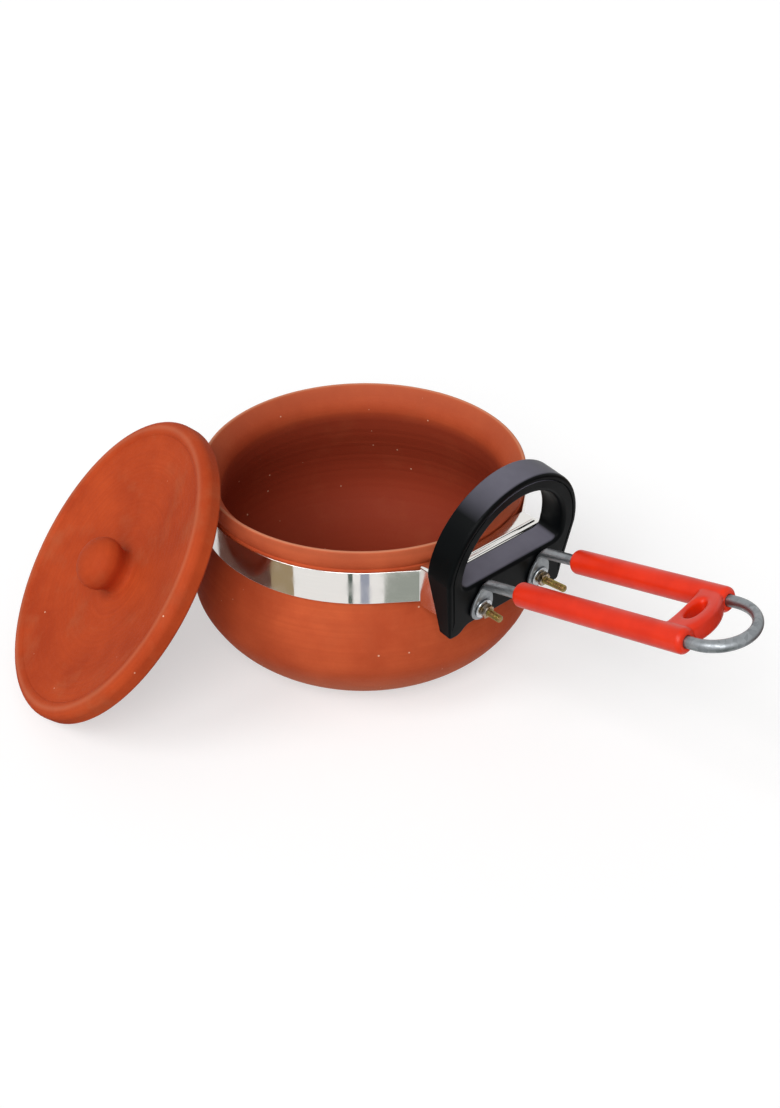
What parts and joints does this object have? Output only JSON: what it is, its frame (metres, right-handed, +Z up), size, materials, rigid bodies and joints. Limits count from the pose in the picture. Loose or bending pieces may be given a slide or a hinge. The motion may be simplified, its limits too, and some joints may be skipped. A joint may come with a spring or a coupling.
{
  "type": "clay cooking pot",
  "caption": "Round-bellied terracotta cooking pot with a steel neck band, black loop handle, long wire handle with a red grip, and a knobbed clay lid leaning against its side.",
  "frame": {"origin": "middle of the pot's flat base", "axes": "+Z up along the pot's axis, +X out through the loop handle and the wire handle; the lid leans on the -Y side"},
  "size_m": [0.412, 0.2963, 0.1559],
  "materials": {
    "pot_clay": "unglazed, wheel turned",
    "lid_clay": "unglazed, wheel turned",
    "band_steel": "polished stainless strip",
    "guard_steel": "polished stainless sheet",
    "handle_bakelite": "moulded phenolic",
    "wire_zinc": "galvanised",
    "grip_plastic": "moulded soft plastic",
    "bolt_zinc": "yellow zinc plated",
    "washer_zinc": "bright zinc plated",
    "nut_zinc": "yellow zinc plated"
  },
  "bodies": {
    "pot": {"pot_body": "pot_clay", "neck_band": "band_steel", "handle_guard": "guard_steel", "side_handle": "handle_bakelite", "wire_handle": "wire_zinc", "grip_sleeve": "grip_plastic", "bolt_near": "bolt_zinc", "bolt_far": "bolt_zinc", "washer_near": "washer_zinc", "washer_far": "washer_zinc", "nut_near": "nut_zinc", "nut_far": "nut_zinc"},
    "lid": {"lid": "lid_clay"}
  },
  "joints": [
    {"name": "lid_lift", "type": "slide", "parent": "pot", "child": "lid", "axis": [0, 0, 1], "range_m": [0, 0.25]}
  ]
}
